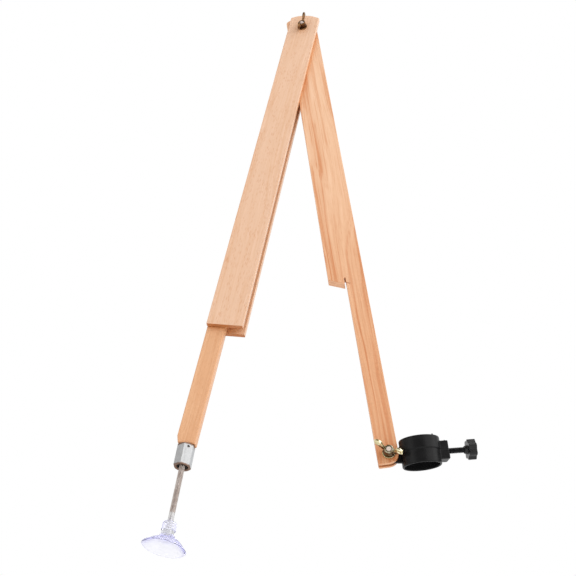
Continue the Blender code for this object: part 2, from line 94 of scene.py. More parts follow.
PIVOT = Vector(JOINTS["arm_fold"]["pos_m"])
CLAMP = Vector(JOINTS["collar_tilt"]["pos_m"])
FOOT = Vector(JOINTS["rod_turn"]["pos_m"])
FOOT_UP = -Vector(JOINTS["rod_turn"]["axis"])
CHANNEL_FRAME = frame_matrix(PIVOT, (1, 0, 0), Matrix.Rotation(FOOT_LEAN, 3, "Y") @ FOOT_UP)
ARM_LINE = PIVOT - CLAMP
ARM_UP = Matrix.Rotation(math.asin(ARM_BOLT_OFFSET / ARM_LINE.length), 3, "Y") @ ARM_LINE.normalized()
ARM_FRAME = frame_matrix(PIVOT, (1, 0, 0), ARM_UP)
FOOT_FRAME = frame_matrix(FOOT, (1, 0, 0), FOOT_UP)
RING_FRAME = frame_matrix(MOUNTS["post_clamp"]["pos_m"], JOINTS["screw_turn"]["axis"],
                          MOUNTS["post_clamp"]["axis"])


# Node helpers ----------------------------------------------------------------------------------

class Shader:
    """A material's node tree, with short calls for the nodes used here."""

    def __init__(self, name):
        self.material = bpy.data.materials.new(name)
        self.material.use_nodes = True
        self.tree = self.material.node_tree
        self.surface = self.tree.nodes["Principled BSDF"]

    def node(self, kind, inputs=None, **settings):
        """Add a node, set its properties, and fill its inputs with values or sockets."""
        made = self.tree.nodes.new(kind)
        for key, value in settings.items():
            setattr(made, key, value)
        for key, value in (inputs or {}).items():
            self.fill(made.inputs[key], value)
        return made

    def fill(self, socket, value):
        """Link a socket to another, or set its value."""
        if isinstance(value, bpy.types.NodeSocket):
            self.tree.links.new(value, socket)
        else:
            socket.default_value = value

    def set(self, **values):
        """Fill inputs of the Principled node, by their names with _ for spaces."""
        for key, value in values.items():
            self.fill(self.surface.inputs[key.replace("_", " ")], value)

    def math(self, operation, a, b=0.0):
        return self.node("ShaderNodeMath", {0: a, 1: b}, operation=operation).outputs[0]

    def mix(self, amount, a, b, blend="MIX"):
        """Blend two colours."""
        made = self.node("ShaderNodeMix", {0: amount, 6: a, 7: b}, data_type="RGBA", blend_type=blend)
        return made.outputs[2]

    def ramp(self, value, low, high):
        """0 below low, 1 above high, smooth between."""
        made = self.node("ShaderNodeMapRange", {"Value": value, "From Min": low, "From Max": high})
        made.interpolation_type = "SMOOTHSTEP"
        return made.outputs[0]

    def mapped(self, vector, scale=(1, 1, 1), offset=(0, 0, 0)):
        """Scale a vector and then move it."""
        inputs = {"Vector": vector, "Scale": scale, "Location": offset}
        return self.node("ShaderNodeMapping", inputs).outputs[0]

    def noise(self, vector, scale, detail, roughness=0.5):
        """Soft noise with its own scale on each axis, in lumps a metre."""
        return self.node("ShaderNodeTexNoise", {"Vector": self.mapped(vector, scale), "Scale": 1.0,
                                                "Detail": detail, "Roughness": roughness}).outputs[0]

    def cells(self, vector, scale):
        """Distance from the nearest of many scattered points, with their own number a metre on each axis."""
        inputs = {"Vector": self.mapped(vector, scale), "Scale": 1.0}
        return self.node("ShaderNodeTexVoronoi", inputs).outputs["Distance"]

    def coordinates(self, output="Object"):
        return self.node("ShaderNodeTexCoord").outputs[output]

    def openness(self, reach):
        """1 in the open, and less where other surfaces lie within reach."""
        return self.node("ShaderNodeAmbientOcclusion", {"Distance": reach}, samples=6).outputs["AO"]

    def bump(self, height, strength, distance):
        inputs = {"Height": height, "Strength": strength, "Distance": distance}
        return self.node("ShaderNodeBump", inputs).outputs[0]


def rgb(red, green, blue):
    """A colour given as it looks on a screen, from 0 to 255, as a linear one."""
    linear = []
    for value in (red, green, blue):
        part = value / 255
        linear.append(part / 12.92 if part <= 0.04045 else ((part + 0.055) / 1.055) ** 2.4)
    return (*linear, 1.0)


# Materials -------------------------------------------------------------------------------------

PORE_BROWN = rgb(150, 92, 58)
# Painted shade: the warm darkening multiplied into the wood where other surfaces lie near
PAINTED_SHADE_ORANGE = (0.98, 0.72, 0.45, 1)


def wood(name, placement, plain, streak, pale, end_grain, seed, band_amount, line_width, line_amount,
         fleck_amount, low_tint=(1, 1, 1, 1)):
    """Lacquered beech: wavy lines, fibres and short ray flecks along the board, and its own end grain.

    Scales run across, through and along the board, low_tint colours the part far below the pivot, and side grain
    with other surfaces near it gets painted shade.
    """
    s = Shader(name)
    board = s.node("ShaderNodeMapping", {"Vector": s.coordinates(), "Location": placement.translation,
                                         "Rotation": placement.to_euler()}, vector_type="TEXTURE").outputs[0]
    height_on_board = s.node("ShaderNodeSeparateXYZ", {0: board}).outputs["Z"]
    board = s.mapped(board, offset=(seed, seed * 0.7, seed * 0.3))

    wander = 0.034
    drift = s.math("MULTIPLY", s.math("SUBTRACT", s.noise(board, (14, 14, 2.2), 3), 0.5), wander)
    shift = s.node("ShaderNodeCombineXYZ", {0: drift, 1: drift, 2: 0.0}).outputs[0]
    warped = s.node("ShaderNodeVectorMath", {0: board, 1: shift}, operation="ADD").outputs[0]

    across = 1 / line_width
    bands = s.noise(warped, (55, 35, 1.2), 2)
    lines = s.noise(warped, (across, across * 0.7, 4.0), 3, 0.6)
    threads = s.noise(warped, (across * 2.7, across * 2.0, 9.0), 2, 0.6)
    fibre = s.noise(board, (1900, 1900, 34), 2)
    blotch = s.noise(board, (22, 22, 7), 2)
    gathered = s.math("ADD", s.math("MULTIPLY", s.ramp(bands, 0.35, 0.62), 0.5), 0.5)
    line_strength = s.math("MULTIPLY", gathered, line_amount)

    color = plain
    for field, low, high, amount, tint in ((bands, 0.38, 0.66, band_amount, streak),
                                           (lines, 0.48, 0.66, line_strength, streak),
                                           (threads, 0.52, 0.70, line_strength, streak),
                                           (lines, 0.45, 0.28, 0.45, pale),
                                           (blotch, 0.45, 0.75, 0.20, pale),
                                           (fibre, 0.42, 0.75, 0.20, streak)):
        color = s.mix(s.math("MULTIPLY", s.ramp(field, low, high), amount), color, tint)

    fleck_field = s.ramp(s.noise(board, (160, 160, 25), 1), 0.30, 0.58)
    flecks = s.math("MULTIPLY", s.ramp(s.cells(board, (820, 820, 120)), 0.40, 0.12), fleck_field)
    color = s.mix(s.math("MULTIPLY", flecks, fleck_amount), color, end_grain)

    along = placement.to_3x3() @ Vector((0, 0, 1))
    facing = s.node("ShaderNodeVectorMath", {0: s.coordinates("Normal"), 1: along}, operation="DOT_PRODUCT")
    is_end = s.ramp(s.math("ABSOLUTE", facing.outputs["Value"]), 0.70, 0.86)
    pores = s.ramp(s.cells(board, (2100, 2100, 2100)), 0.42, 0.16)
    rings = s.ramp(s.noise(board, (90, 620, 90), 2), 0.44, 0.62)
    end_color = s.mix(s.math("MULTIPLY", rings, 0.35), end_grain, streak)
    end_color = s.mix(s.math("MULTIPLY", pores, 0.30), end_color, PORE_BROWN)
    color = s.mix(is_end, color, end_color)
    color = s.mix(s.ramp(height_on_board, -0.12, -0.60), color, low_tint, "MULTIPLY")
    # Painted shade: side grain with other surfaces within reach is darkened towards orange and loses lacquer
    painted_shade = s.math("MULTIPLY", s.ramp(s.openness(0.014), 0.95, 0.40), s.math("SUBTRACT", 1.0, is_end))
    color = s.mix(painted_shade, color, PAINTED_SHADE_ORANGE, "MULTIPLY")

    height = s.math("ADD", fibre, s.math("MULTIPLY", flecks, -0.8))
    height = s.math("SUBTRACT", height, s.math("MULTIPLY", s.math("MULTIPLY", pores, is_end), 1.2))
    rough = s.math("ADD", s.math("MULTIPLY", fibre, 0.16), s.math("MULTIPLY", is_end, 0.15))
    lacquer = s.math("MULTIPLY", s.math("SUBTRACT", 1.0, painted_shade), 0.28)
    s.set(Base_Color=color, Roughness=s.math("ADD", rough, 0.36), Coat_Roughness=0.16, Coat_Weight=lacquer,
          Specular_IOR_Level=0.26, Normal=s.bump(height, 0.22, 0.00025))
    return s.material


def metal(name, color, worn, dirt_and_shade, roughness, seed, brushed=(1, 1, 1), bands=(), reach=0.006, dull=0.0):
    """Plated metal: clouded tone, fine scratches, dirt and painted shade in the recesses, and bright worn edges.

    Each band tints the piece from one height to another along its own z axis, and dull is how far
    the banded metal has lost its mirror. Dirt and painted shade spread from other surfaces within reach.
    """
    s = Shader(name)
    spot = s.mapped(s.coordinates(), offset=(seed, seed, seed))
    clouds = s.noise(spot, (260, 260, 260), 3)
    fine = s.noise(spot, tuple(2600 * part for part in brushed), 3, 0.6)
    tone = s.mix(s.ramp(clouds, 0.36, 0.66), color, worn)
    tone = s.mix(s.math("MULTIPLY", s.ramp(fine, 0.50, 0.74), 0.35), tone, dirt_and_shade)
    # Dirt and painted shade: darker where other surfaces lie within reach
    tone = s.mix(s.ramp(s.openness(reach), 0.86, 0.36), tone, dirt_and_shade)
    edge = s.node("ShaderNodeNewGeometry").outputs["Pointiness"]
    tone = s.mix(s.math("MULTIPLY", s.ramp(edge, 0.515, 0.580), 0.75), tone, worn)

    ragged = s.math("MULTIPLY", s.math("SUBTRACT", clouds, 0.5), 0.0022)
    along = s.math("ADD", s.node("ShaderNodeSeparateXYZ", {0: s.coordinates()}).outputs["Z"], ragged)
    metallic = 1.0
    for start, end, tint in bands:
        amount = s.ramp(along, start, end)
        tone = s.mix(s.math("MULTIPLY", amount, 0.85), tone, tint)
        metallic = s.math("SUBTRACT", metallic, s.math("MULTIPLY", amount, dull))
    rough = s.math("ADD", s.math("MULTIPLY", clouds, 0.22), roughness - 0.10)
    s.set(Base_Color=tone, Metallic=metallic, Roughness=rough, Normal=s.bump(fine, 0.10, 0.00012))
    return s.material


def nylon(name, color, scuffed, roughness, specular):
    """Moulded plastic with a faint spark-eroded texture and dull scuffs."""
    s = Shader(name)
    spot = s.coordinates()
    texture = s.noise(spot, (3600, 3600, 3600), 2, 0.6)
    flow = s.noise(spot, (70, 70, 190), 3)
    scuffs = s.ramp(s.noise(spot, (420, 420, 60), 4, 0.7), 0.60, 0.74)
    tone = s.mix(s.math("MULTIPLY", s.ramp(flow, 0.40, 0.70), 0.5), color, scuffed)
    tone = s.mix(s.math("MULTIPLY", scuffs, 0.5), tone, scuffed)
    rough = s.math("ADD", roughness, s.math("MULTIPLY", flow, 0.12))
    s.set(Base_Color=tone, Roughness=rough, Specular_IOR_Level=specular,
          Normal=s.bump(texture, 0.30, 0.00010))
    return s.material


def vinyl(name):
    """Clear soft vinyl, a little dusty, its violet tint deeper at the edges and where it is thick."""
    s = Shader(name)
    spot = s.coordinates()
    waves = s.noise(spot, (90, 90, 90), 1)
    edge = s.ramp(s.node("ShaderNodeLayerWeight", {"Blend": 0.4}).outputs["Facing"], 0.25, 0.95)
    dust = s.ramp(s.noise(spot, (1500, 1500, 1500), 2), 0.60, 0.78)
    rough = s.math("ADD", s.math("MULTIPLY", dust, 0.25), 0.10)
    tint = s.mix(edge, rgb(252, 252, 255), rgb(184, 182, 240))
    dusty = s.mix(s.math("MULTIPLY", dust, 0.5), tint, rgb(238, 236, 250))
    s.set(Base_Color=dusty, Roughness=rough, Transmission_Weight=0.80, IOR=1.12, Specular_IOR_Level=0.6,
          Normal=s.bump(waves, 0.10, 0.0005))
    absorb = s.node("ShaderNodeVolumeAbsorption", {"Color": (0.28, 0.26, 0.88, 1.0), "Density": 14.0})
    s.tree.links.new(absorb.outputs[0], s.tree.nodes["Material Output"].inputs["Volume"])
    return s.material


def plain_stage(name, color, shade):
    """Matte floor with the faintest unevenness."""
    s = Shader(name)
    tone = s.noise(s.coordinates(), (2, 2, 2), 2)
    s.set(Base_Color=s.mix(s.math("MULTIPLY", tone, 0.1), color, shade), Roughness=0.9)
    return s.material


def bolt_tip(grip):
    """Height of a bolt's tip over the face its head lies on."""
    return grip + WASHER_THICKNESS + NUT_HEIGHT + PAST_NUT


def fastener_metals(name, tones, seeds, grip, hub_dirt_and_shade):
    """Metals of a bolt whose tip is a pale painted reflection, of its washer, and of its wing nut, with dirt and
    painted shade round the hub.
    """
    tip = bolt_tip(grip)
    # Painted reflection: the bolt's last millimetre turns pale and less metallic, standing in for the white it
    # would mirror
    reflection_band = (tip - 0.0016, tip - 0.0006, PAINTED_REFLECTION_TIP)
    return (metal(name + "_bolt", *tones, seeds[0], bands=(reflection_band,), dull=0.75),
            metal(name + "_washer", *tones, seeds[1], reach=0.010),
            # Wing nut: dirt and painted shade darken the hub towards its base
            metal(name + "_nut", *tones, seeds[2], bands=(hub_dirt_and_shade,), reach=0.010))


# The plates' end grain colour is partly painted shade, darkened for the shadow along the plates' lower ends
PLATE_WOOD = dict(plain=rgb(206, 170, 143), streak=rgb(195, 146, 107), pale=rgb(220, 186, 161),
                  end_grain=rgb(174, 102, 48), band_amount=0.10, line_width=0.0024, line_amount=0.38,
                  fleck_amount=0.42)
ARM_WOOD = dict(plain=rgb(213, 174, 142), streak=rgb(190, 125, 80), pale=rgb(222, 189, 160),
                end_grain=rgb(228, 187, 154), band_amount=0.18, line_width=0.0030, line_amount=0.85,
                fleck_amount=0.22, low_tint=(0.90, 0.76, 0.64, 1))
BAR_WOOD = dict(plain=rgb(204, 157, 119), streak=rgb(191, 136, 95), pale=rgb(218, 176, 141),
                end_grain=rgb(176, 118, 76), band_amount=0.30, line_width=0.0022, line_amount=0.55,
                fleck_amount=0.35)
FRONT_BEECH = wood("beech_front", CHANNEL_FRAME, seed=0.31, **PLATE_WOOD)
BACK_BEECH = wood("beech_back", CHANNEL_FRAME, seed=1.73, **PLATE_WOOD)
BAR_BEECH = wood("beech_bar", CHANNEL_FRAME, seed=2.57, **BAR_WOOD)
ARM_BEECH = wood("beech_arm", ARM_FRAME, seed=3.19, **ARM_WOOD)

# Metals: clean, worn and dirty tones, the last also painted shade in recesses, then roughness and seed. The rod is
# bare just above the cup.
SLEEVE_END_BROWN = (0.19, 0.088, 0.042, 1)
BARE_STEEL = (0.72, 0.72, 0.72, 1)
# Painted reflection colour for the bolts' tips
PAINTED_REFLECTION_TIP = (0.62, 0.52, 0.48, 1)
# Dark brown bands round the sleeve's top against the bar and round its mouth
BROWN_SLEEVE_ENDS = ((-0.0024, -0.0010, SLEEVE_END_BROWN), (0.0019 - SLEEVE_LENGTH, 0.0005 - SLEEVE_LENGTH, SLEEVE_END_BROWN))
ZINC = metal("zinc_plate", (0.40, 0.41, 0.42, 1), (0.62, 0.63, 0.64, 1), (0.06, 0.06, 0.06, 1), 0.30, 0.4)
SLEEVE_ZINC = metal("sleeve_zinc", (0.34, 0.35, 0.36, 1), (0.55, 0.56, 0.57, 1), (0.12, 0.11, 0.10, 1),
                    0.56, 0.4, brushed=(1, 1, 0.12), bands=BROWN_SLEEVE_ENDS)
ROD_STEEL = metal("rod_steel", (0.44, 0.36, 0.32, 1), (0.68, 0.62, 0.58, 1), (0.14, 0.095, 0.075, 1),
                  0.44, 1.4, bands=((0.0110, 0.0090, BARE_STEEL),))
DARK_STEEL = metal("dark_steel", (0.05, 0.045, 0.04, 1), (0.12, 0.11, 0.10, 1), (0.02, 0.015, 0.01, 1),
                   0.5, 2.2)
BLACK_STEEL = metal("black_steel", (0.020, 0.020, 0.022, 1), (0.06, 0.06, 0.065, 1), (0.01, 0.01, 0.01, 1),
                    0.42, 5.2)
AGED_TONES = ((0.11, 0.050, 0.016, 1), (0.34, 0.18, 0.075, 1), (0.03, 0.014, 0.006, 1), 0.30)
# The wing nuts darken towards the base of the hub: dirt and painted shade
AGED_BRASS = fastener_metals("aged", AGED_TONES, (3.7, 3.1, 3.4), PIVOT_GRIP,
                             hub_dirt_and_shade=(0.0060, 0.0034, (0.045, 0.015, 0.006, 1)))
YELLOW_TONES = ((0.62, 0.52, 0.24, 1), (1.0, 0.95, 0.68, 1), (0.09, 0.045, 0.02, 1), 0.20)
YELLOW_ZINC = fastener_metals("yellow", YELLOW_TONES, (4.9, 4.6, 4.3), CLAMP_GRIP,
                              hub_dirt_and_shade=(0.0082, 0.0056, (0.050, 0.022, 0.010, 1)))

# Plastics: clean and scuffed tones, then roughness and specular level
BLACK_NYLON = nylon("black_nylon", (0.0040, 0.0040, 0.0043, 1), (0.009, 0.009, 0.0095, 1), 0.27, 0.15)
KNOB_NYLON = nylon("knob_nylon", (0.0045, 0.0045, 0.0048, 1), (0.010, 0.010, 0.0105, 1), 0.16, 0.30)
GREY_NYLON = nylon("grey_nylon", (0.06, 0.06, 0.06, 1), (0.12, 0.12, 0.12, 1), 0.45, 0.4)
CLEAR_VINYL = vinyl("clear_vinyl")


# Mesh helpers ----------------------------------------------------------------------------------

def mesh_from(bm, name):
    """Finish a bmesh as smooth mesh data with outward faces."""
    bmesh.ops.recalc_face_normals(bm, faces=bm.faces)
    mesh = bpy.data.meshes.new(name)
    bm.to_mesh(mesh)
    bm.free()
    return mesh


def place(name, mesh, matrix, material, smooth_angle=38):
    """Put mesh data in the scene as a piece."""
    mesh.shade_smooth()
    mesh.set_sharp_from_angle(angle=math.radians(smooth_angle))
    mesh.materials.append(material)
    piece = bpy.data.objects.new(name, mesh)
    bpy.context.scene.collection.objects.link(piece)
    piece.matrix_world = matrix
    return piece


def stand_for(piece, body, slot, *nodes):
    """Tie a piece to its body and hide the CAD nodes it replaces. The slot argument is not used."""
    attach(piece, body)
    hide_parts(*nodes)


def lathe(profile, steps):
    """A closed solid of revolution about z, from (radius, z) points; radius 0 closes it on the axis."""
    bm = bmesh.new()
    rings = []
    for radius, z in profile:
        if radius < 1e-7:
            rings.append([bm.verts.new((0, 0, z))])
            continue
        angles = [2 * math.pi * i / steps for i in range(steps)]
        rings.append([bm.verts.new((radius * math.cos(a), radius * math.sin(a), z)) for a in angles])
    pairs = list(zip(rings, rings[1:]))
    if len(rings[0]) > 1:
        pairs.append((rings[-1], rings[0]))
    for upper, lower in pairs:
        for i in range(steps):
            j = (i + 1) % steps
            corners = [upper[i % len(upper)], upper[j % len(upper)],
                       lower[j % len(lower)], lower[i % len(lower)]]
            unique = list(dict.fromkeys(corners))
            if len(unique) > 2:
                bm.faces.new(unique)
    return bm


def arc(cx, cz, radius, start, end, steps):
    """Points on a circle from one angle in degrees to another."""
    angles = [math.radians(start + (end - start) * i / steps) for i in range(steps + 1)]
    return [(cx + radius * math.cos(a), cz + radius * math.sin(a)) for a in angles]


def cylinder(radius, low, high, steps=48):
    """A plain cylinder about z."""
    return lathe([(0, high), (radius, high), (radius, low), (0, low)], steps)


def rounded_ring(outer, inner, low, high, fillet):
    """Closed section of a ring with rounded corners."""
    points = arc(outer - fillet, high - fillet, fillet, 90, 0, 3)
    points += arc(outer - fillet, low + fillet, fillet, 0, -90, 3)
    points += arc(inner + fillet, low + fillet, fillet, -90, -180, 3)
    points += arc(inner + fillet, high - fillet, fillet, 180, 90, 3)
    return points


def hexagon(corner, turn):
    """Outline of a hexagon by its corner radius, its first corner turned from y by some degrees."""
    angles = [math.radians(60 * i + turn) for i in range(6)]
    return [(corner * math.sin(a), corner * math.cos(a)) for a in angles]


def prism(points, low, high):
    """Extrude an outline of (x, y) points between two heights."""
    bm = bmesh.new()
    face = bm.faces.new([bm.verts.new((x, y, low)) for x, y in points])
    grown = bmesh.ops.extrude_face_region(bm, geom=[face])
    top = [v for v in grown["geom"] if isinstance(v, bmesh.types.BMVert)]
    bmesh.ops.translate(bm, verts=top, vec=(0, 0, high - low))
    return bm


def block(low, high, rounding):
    """A box with rounded edges between two corners."""
    bm = bmesh.new()
    size = Vector(high) - Vector(low)
    middle = (Vector(high) + Vector(low)) / 2
    bmesh.ops.create_cube(bm, size=1.0, matrix=Matrix.Translation(middle) @ Matrix.Diagonal((*size, 1)))
    bmesh.ops.bevel(bm, geom=bm.edges[:], offset=rounding, segments=3, affect="EDGES", profile=0.5)
    return bm


def turned_to_x(bm):
    """Turn a shape's z axis to x."""
    bmesh.ops.rotate(bm, verts=bm.verts, matrix=Matrix.Rotation(math.radians(90), 3, "Y"))
    return bm


def turned_to_front(bm):
    """Turn a shape's z axis to -y, with its x kept."""
    bmesh.ops.rotate(bm, verts=bm.verts, matrix=Matrix.Rotation(math.radians(90), 3, "X"))
    return bm


def solid(bm, joined=(), cut=(), voxel=None, smoothing=0):
    """Join and cut bmeshes with exact Booleans, and blend the result as a casting if a voxel is given."""
    base = bpy.data.objects.new("solid", mesh_from(bm, "solid"))
    bpy.context.scene.collection.objects.link(base)
    tools = []
    for operation, shapes in (("UNION", joined), ("DIFFERENCE", cut)):
        for shape in shapes:
            tool = bpy.data.objects.new("tool", mesh_from(shape, "tool"))
            bpy.context.scene.collection.objects.link(tool)
            modifier = base.modifiers.new("shape", "BOOLEAN")
            modifier.operation = operation
            modifier.solver = "EXACT"
            modifier.object = tool
            tools.append(tool)
    if voxel:
        remesh = base.modifiers.new("casting", "REMESH")
        remesh.mode = "VOXEL"
        remesh.voxel_size = voxel
        soften = base.modifiers.new("soften", "SMOOTH")
        soften.factor = 0.5
        soften.iterations = smoothing
    graph = bpy.context.evaluated_depsgraph_get()
    mesh = bpy.data.meshes.new_from_object(base.evaluated_get(graph))
    for extra in [base] + tools:
        bpy.data.objects.remove(extra, do_unlink=True)
    return mesh


def threaded(low, high):
    """An M6 rod along z with a helical V thread, its ends chamfered."""
    depth = 0.00052
    flank = 1.25
    chamfer = 0.0008
    steps = 32
    rows_per_turn = 8
    bm = bmesh.new()
    count = round((high - low) / PITCH * rows_per_turn)
    rings = []
    for row in range(count + 1):
        z = low + (high - low) * row / count
        near_end = min(z - low, high - z)
        cap = THREAD_RADIUS - max(0.0, chamfer - near_end)
        ring = []
        for step in range(steps):
            turn = step / steps
            phase = (z / PITCH - turn) % 1.0
            groove = min(1.0, (1 - abs(2 * phase - 1)) * flank)
            r = min(THREAD_RADIUS - depth * groove, cap)
            angle = 2 * math.pi * turn
            ring.append(bm.verts.new((r * math.cos(angle), r * math.sin(angle), z)))
        rings.append(ring)
    for lower, upper in zip(rings, rings[1:]):
        for i in range(steps):
            j = (i + 1) % steps
            bm.faces.new((lower[i], lower[j], upper[j], upper[i]))
    bm.faces.new(rings[0][::-1])
    bm.faces.new(rings[-1])
    return bm


# Bolts, washers and wing nuts ------------------------------------------------------------------

def bolt_mesh(grip):
    """A round-head bolt along z: head under z = 0, a plain shank, and a threaded end past the nut."""
    head_radius = 0.0068
    head_height = 0.0032
    fullness = 0.9
    neck = grip / 2
    overlap = 0.001
    profile = [(0, neck), (THREAD_RADIUS, neck), (THREAD_RADIUS, -FIT_GAP)]
    for degrees in range(0, 90, 9):
        angle = math.radians(degrees)
        radius = head_radius * math.cos(angle) ** fullness
        profile.append((radius, -FIT_GAP - head_height * math.sin(angle)))
    profile.append((0, -FIT_GAP - head_height))
    return solid(lathe(profile, 48), joined=[threaded(neck - overlap, bolt_tip(grip))])


def washer_mesh():
    """A flat washer lying on z = 0, its edges worn round."""
    section = rounded_ring(WASHER_RADIUS, HOLE_RADIUS, 0, WASHER_THICKNESS, 0.00025)
    return mesh_from(lathe(section, 64), "washer")


def wing_nut_mesh():
    """A cast wing nut on z = 0: a tapered hub and two rounded, dished ears that lean outwards."""
    half_ear = 0.00105
    half_lip = 0.00135
    lip_x = 0.0112
    lip_z = 0.0099
    clear = 0.00265
    hub = lathe([(0, NUT_HEIGHT), (0.0040, NUT_HEIGHT), (0.0046, NUT_HEIGHT - 0.0007), (0.0048, 0.0030),
                 (0.0053, 0.0009), (0.0053, 0.0), (0, 0)], 48)
    ears = []
    dishes = []
    for side in (1, -1):
        outline = [(0.0020, 0.0014), (0.0066, 0.0020), (0.0092, 0.0042)]
        outline += arc(0.0110, 0.0096, 0.0042, -50, 150, 12)
        outline += [(0.0062, 0.0080), (0.0048, 0.0062), (0.0020, 0.0060)]
        lip = arc(lip_x, lip_z, 0.0030, 0, 360, 20)[:-1]
        ears.append(prism([(side * x, z) for x, z in outline], -half_ear, half_ear))
        ears.append(prism([(side * x, z) for x, z in lip], -half_lip, half_lip))
        for face in (1, -1):
            dish = lathe([(0, face * clear), (0.0022, face * clear), (0.0017, face * half_ear),
                          (0, face * half_ear)], 32)
            bmesh.ops.translate(dish, verts=dish.verts, vec=(side * lip_x, lip_z, 0))
            dishes.append(dish)
    for shape in ears + dishes:
        turned_to_front(shape)
    bore = cylinder(THREAD_BORE, -0.01, 0.02)
    return solid(hub, joined=ears, cut=[bore] + dishes, voxel=0.00030, smoothing=3)


def add_fasteners(prefix, centre, grip, wing_turn, bodies, metals, slot):
    """One bolt with its washer and wing nut, its axis on Y and its nut in front."""
    to_front = Matrix.Rotation(math.radians(90), 4, "X")
    front = Matrix.Translation(centre) @ to_front
    turned = Matrix.Translation(centre) @ Matrix.Rotation(wing_turn, 4, "Y") @ to_front
    face = grip / 2
    parts = (("bolt", bolt_mesh(grip), front, -face, 38),
             ("washer", washer_mesh(), front, face + FIT_GAP, 38),
             ("wing_nut", wing_nut_mesh(), turned, face + WASHER_THICKNESS + 2 * FIT_GAP, 50))
    for (part, mesh, axis, seat, smooth_angle), body, material in zip(parts, bodies, metals):
        name = prefix + "_" + part
        piece = place(name + "_piece", mesh, axis @ Matrix.Translation((0, 0, seat)), material, smooth_angle)
        stand_for(piece, body, slot, name)


# Suction foot ----------------------------------------------------------------------------------

def add_sleeve():
    """The zinc hex sleeve with chamfered corners, a wide mouth and its locking-pin hole."""
    half_flats = 0.0079
    mouth_radius = 0.0057
    spigot_radius = 0.0038
    spigot_length = 0.0128
    pin_radius = 0.00135
    pin_depth = -0.0038
    lip = -SLEEVE_LENGTH
    far = 0.02
    below = -0.03
    corner = half_flats / math.cos(math.pi / 6)
    chamfers = []
    for end, inward in ((0.0, -1), (lip, 1)):
        start = corner - 0.0012
        outside = end - inward * 0.001
        chamfers.append(lathe([(start, end), (corner + 0.001, end + inward * 0.0014), (far, end),
                               (far, outside), (start, outside)], 96))
    spigot = cylinder(spigot_radius, -0.002, spigot_length)
    bore = cylinder(THREAD_BORE, below, far)
    mouth = lathe([(0, lip + 0.008), (mouth_radius - 0.0008, lip + 0.008), (mouth_radius, lip + 0.007),
                   (mouth_radius, lip + 0.0006), (mouth_radius + 0.0006, lip), (mouth_radius + 0.0006, below),
                   (0, below)], 48)
    pin_hole = turned_to_x(cylinder(pin_radius, 0.001, 0.012, 32))
    bmesh.ops.rotate(pin_hole, verts=pin_hole.verts, matrix=Matrix.Rotation(math.radians(-60), 3, "Z"))
    bmesh.ops.translate(pin_hole, verts=pin_hole.verts, vec=(0, 0, pin_depth))
    mesh = solid(prism(hexagon(corner, 0), lip, 0), joined=[spigot], cut=[bore, mouth, pin_hole] + chamfers)
    matrix = FOOT_FRAME @ Matrix.Translation((0, 0, SLEEVE_ABOVE_FOOT))
    sleeve = place("hex_sleeve_piece", mesh, matrix, SLEEVE_ZINC, 30)
    stand_for(sleeve, "channel_leg", "zinc", "hex_sleeve")


def add_rod():
    """The threaded rod, from inside the cup's head to deep in the bar."""
    mesh = mesh_from(threaded(low=-0.0145, high=0.102), "rod")
    rod = place("threaded_rod_piece", mesh, FOOT_FRAME, ROD_STEEL, 80)
    stand_for(rod, "rod", "rod_steel", "threaded_rod")


def cup_section(head, length, rim, depth):
    """Half section of the cup: rounded head, waist, thin flared skirt with a rounded lip, domed inside."""
    wall = 0.0018
    steps = 16
    start = head + 0.0012
    outer = [(0, 0)] + arc(head - 0.0016, -0.0012, 0.0012, 90, 0, 5)
    outer += [(head - 0.0003, -0.005), (head, -0.010), (head + 0.0002, -length + 0.0030)]
    outer += [(head + 0.0004, -length + 0.0010)]
    inner = []
    for i in range(steps + 1):
        part = i / steps
        r = start + (rim - start) * part
        drop = length + (depth - length) * part ** 1.5
        outer.append((r, -drop))
        inner.append((r - 0.0010, -drop - wall * (1 - 0.6 * part)))
    inner[-1] = (rim - 0.0012, -depth)
    lip = [(rim + 0.0001, -depth + 0.0002), (rim - 0.0002, -depth - 0.0001)]
    return outer[:-1] + lip + inner[::-1] + [(0.004, -length - wall), (0, -length - wall)]


def add_cup():
    """The clear cup with the nut's cross hole through its head, its soft skirt sagging to one side."""
    length = 0.0165
    depth = 0.0255
    sag = math.tan(math.radians(4.5))
    pull = 0.0010
    body = lathe(cup_section(head=0.0070, length=length, rim=0.0211, depth=depth), 96)
    bore = cylinder(HOLE_RADIUS, -0.0150, 0.003)
    slot = block((-0.010, -0.0053, -0.0133), (0.010, 0.0053, -0.0079), 0.0010)
    mesh = solid(body, cut=[bore, slot])
    for vertex in mesh.vertices:
        amount = max(0.0, min(1.0, (-vertex.co.z - length) / (depth - length)))
        vertex.co.z -= vertex.co.x * sag * amount
        vertex.co.x -= pull * amount
    cup = place("suction_cup_piece", mesh, FOOT_FRAME, CLEAR_VINYL, 40)
    stand_for(cup, "foot", "clear_vinyl", "suction_cup")


# Post clamp ------------------------------------------------------------------------------------

def collar_section(wide, bore_radius, half, step, fillet):
    """Section of the ring: rounded rims, and a small step round the outside at its parting line."""
    section = arc(wide - fillet, half - fillet, fillet, 90, 0, 3)
    section += [(wide, 0.0008), (wide - step, 0.0004)]
    section += arc(wide - step - fillet, -half + fillet, fillet, 0, -90, 3)
    section += arc(bore_radius + fillet, -half + fillet, fillet, -90, -180, 3)
    section += arc(bore_radius + fillet, half - fillet, fillet, 180, 90, 3)
    return section


def ear_outline(radius, reach, drop):
    """A tongue with a round end at the bolt, its other end lower and inside the ring's wall."""
    return [(reach, -drop - radius), (reach, -drop + radius)] + arc(0, 0, radius, 90, 270, 24)


